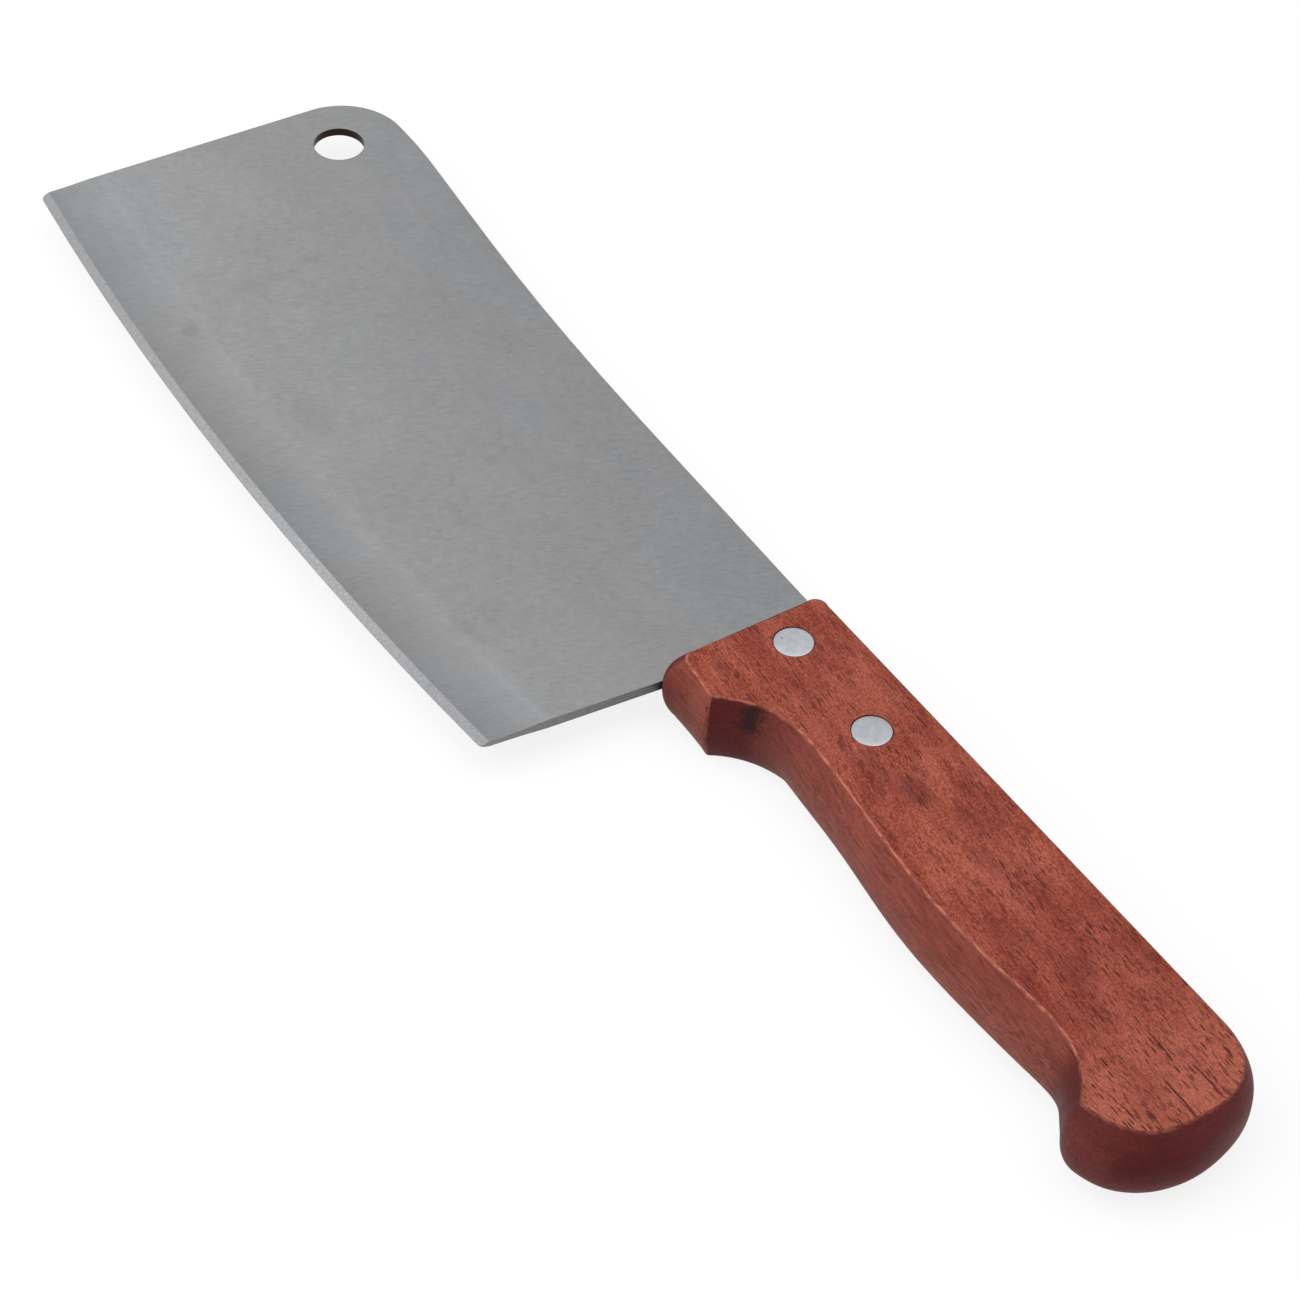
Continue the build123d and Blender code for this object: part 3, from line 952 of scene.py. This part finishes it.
def rivetSetter():
    # a tree that sets one half on each face of the handle, with a turn of its own
    tree = bpy.data.node_groups.new("rivetSetter", "GeometryNodeTree")
    sockets = {}
    tree.interface.new_socket("Geometry", in_out="INPUT", socket_type="NodeSocketGeometry")
    for name, kind in (
        ("Upper Half", "NodeSocketObject"), ("Lower Half", "NodeSocketObject"),
        ("Centre", "NodeSocketVector"), ("Grip", "NodeSocketFloat"),
        ("Turn Seed", "NodeSocketInt"), ("Finish", "NodeSocketMaterial"),
    ):
        sockets[name] = tree.interface.new_socket(name, in_out="INPUT", socket_type=kind).identifier
    tree.interface.new_socket("Geometry", in_out="OUTPUT", socket_type="NodeSocketGeometry")
    add = tree.nodes.new
    link = tree.links.new
    group = add("NodeGroupInput")
    faces = add("GeometryNodeMeshLine")
    faces.inputs["Count"].default_value = 2
    top = add("ShaderNodeCombineXYZ")
    link(group.outputs["Grip"], top.inputs["Z"])
    link(top.outputs[0], faces.inputs["Start Location"])
    down = add("ShaderNodeVectorMath")
    down.operation = "SCALE"
    down.inputs["Scale"].default_value = -1.0
    link(top.outputs[0], down.inputs[0])
    link(down.outputs["Vector"], faces.inputs["Offset"])
    index = add("GeometryNodeInputIndex")
    turn = add("FunctionNodeRandomValue")
    turn.data_type = "FLOAT"
    turn.inputs[3].default_value = 2 * math.pi
    link(group.outputs["Turn Seed"], turn.inputs["Seed"])
    joint = add("GeometryNodeJoinGeometry")
    for half, number, flip in (("Upper Half", 0, 0.0), ("Lower Half", 1, math.pi)):
        info = add("GeometryNodeObjectInfo")
        link(group.outputs[half], info.inputs["Object"])
        chosen = add("FunctionNodeCompare")
        chosen.data_type = "INT"
        chosen.operation = "EQUAL"
        link(index.outputs[0], chosen.inputs[2])
        chosen.inputs[3].default_value = number
        angles = add("ShaderNodeCombineXYZ")
        angles.inputs["X"].default_value = flip
        link(turn.outputs[1], angles.inputs["Z"])
        euler = add("FunctionNodeEulerToRotation")
        link(angles.outputs[0], euler.inputs[0])
        setHalf = add("GeometryNodeInstanceOnPoints")
        link(faces.outputs["Mesh"], setHalf.inputs["Points"])
        link(chosen.outputs["Result"], setHalf.inputs["Selection"])
        link(info.outputs["Geometry"], setHalf.inputs["Instance"])
        link(euler.outputs[0], setHalf.inputs["Rotation"])
        link(setHalf.outputs["Instances"], joint.inputs["Geometry"])
    move = add("GeometryNodeTransform")
    link(joint.outputs["Geometry"], move.inputs["Geometry"])
    link(group.outputs["Centre"], move.inputs["Translation"])
    real = add("GeometryNodeRealizeInstances")
    link(move.outputs["Geometry"], real.inputs["Geometry"])
    finish = add("GeometryNodeSetMaterial")
    link(real.outputs["Geometry"], finish.inputs["Geometry"])
    link(group.outputs["Finish"], finish.inputs["Material"])
    output = add("NodeGroupOutput")
    link(finish.outputs["Geometry"], output.inputs["Geometry"])
    return tree, sockets


def setRivet(name, values, setter):
    tree, sockets = setter
    host = bpy.data.objects.new(name, bpy.data.meshes.new(name))
    bpy.context.scene.collection.objects.link(host)
    modifier = host.modifiers.new("rivetSetter", "NODES")
    modifier.node_group = tree
    for socket, value in values.items():
        modifier[sockets[socket]] = value
    evaluated = host.evaluated_get(bpy.context.evaluated_depsgraph_get())
    mesh = bpy.data.meshes.new_from_object(evaluated)
    mesh.name = name
    host.modifiers.clear()
    host.data = mesh
    return host


def addRivets(look):
    aluminium = rivetAluminium(look)
    setter = rivetSetter()
    halves = rivetHalves(look)
    for number, (where, (x, y)) in enumerate(rivetPlaces.items()):
        rivet = setRivet(f"{where}Rivet", {
            "Upper Half": halves[0], "Lower Half": halves[1], "Centre": (x * mm, y * mm, 0.0),
            "Grip": look["grip"] * mm, "Turn Seed": number + look["firstSeed"], "Finish": aluminium,
        }, setter)
        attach(rivet, "root")
        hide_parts(f"rivet_{where}_barrel", f"rivet_{where}_stem")
        print("cleaver:", rivet.name, "set with", len(rivet.data.polygons), "faces")
    for half in halves:
        bpy.data.objects.remove(half)


addRivets(rivetLook)


# floor, backdrop and lamps, in metres
studio = {
    "floorSize": 6.0,
    "floorColour": (0.86, 0.86, 0.86),
    "backdropShare": 0.80,                # how much of the floor is seen as plain white
    "backdropLight": 1.05,
    "worldStrength": 0.42,
    "lampAim": (0.02, 0.0, 0.0),
    "lamps": {                            # place, size, power in watts
        "keySoftbox": ((-0.55, -0.85, 1.15), 1.8, 15.0),
        "topSoftbox": ((0.10, 0.35, 1.50), 1.6, 8.0),
    },
}


def seenRays(tree):
    # 1 for the camera's own rays and for those in metal and glass
    path = tree.nodes.new("ShaderNodeLightPath")
    rays = (path.outputs[f"Is {kind} Ray"] for kind in ("Camera", "Glossy", "Transmission"))
    return total(tree, *rays, clamp=True)


def addWorld(setup):
    world = bpy.data.worlds.new("studioWhite")
    bpy.context.scene.world = world
    world.use_nodes = True
    tree = world.node_tree
    tree.nodes.clear()
    output = tree.nodes.new("ShaderNodeOutputWorld")
    background = tree.nodes.new("ShaderNodeBackground")
    background.inputs["Color"].default_value = (1, 1, 1, 1)
    level = linear(tree, seenRays(tree), 0.0, 1.0, setup["worldStrength"], 1.0)
    tree.links.new(level, background.inputs["Strength"])
    tree.links.new(background.outputs[0], output.inputs["Surface"])


def paleFloor(setup):
    material = bpy.data.materials.new("paleFloor")
    material.use_nodes = True
    tree = material.node_tree
    tree.nodes.clear()
    output = tree.nodes.new("ShaderNodeOutputMaterial")
    matt = tree.nodes.new("ShaderNodeBsdfDiffuse")
    matt.inputs["Color"].default_value = (*setup["floorColour"], 1)
    white = tree.nodes.new("ShaderNodeEmission")
    white.inputs["Color"].default_value = (1, 1, 1, 1)
    white.inputs["Strength"].default_value = setup["backdropLight"]
    mixed = tree.nodes.new("ShaderNodeMixShader")
    tree.links.new(product(tree, seenRays(tree), setup["backdropShare"]), mixed.inputs[0])
    tree.links.new(matt.outputs[0], mixed.inputs[1])
    tree.links.new(white.outputs[0], mixed.inputs[2])
    tree.links.new(mixed.outputs[0], output.inputs["Surface"])
    return material


def addFloor(setup):
    half = setup["floorSize"] / 2
    corners = [(-half, -half, 0), (half, -half, 0), (half, half, 0), (-half, half, 0)]
    mesh = bpy.data.meshes.new("studioFloor")
    mesh.from_pydata(corners, [], [(0, 1, 2, 3)])
    mesh.materials.append(paleFloor(setup))
    floor = bpy.data.objects.new("studioFloor", mesh)
    bpy.context.scene.collection.objects.link(floor)


def addLamps(setup):
    for name, (place, size, power) in setup["lamps"].items():
        data = bpy.data.lights.new(name, "AREA")
        data.shape = "DISK"
        data.size = size
        data.energy = power
        lamp = bpy.data.objects.new(name, data)
        lamp.location = place
        lamp.rotation_mode = "QUATERNION"
        lamp.rotation_quaternion = turnTowards(place, setup["lampAim"])
        bpy.context.scene.collection.objects.link(lamp)


addWorld(studio)
addFloor(studio)
addLamps(studio)
bpy.context.scene.view_settings.view_transform = "Standard"
print("cleaver: studio done")
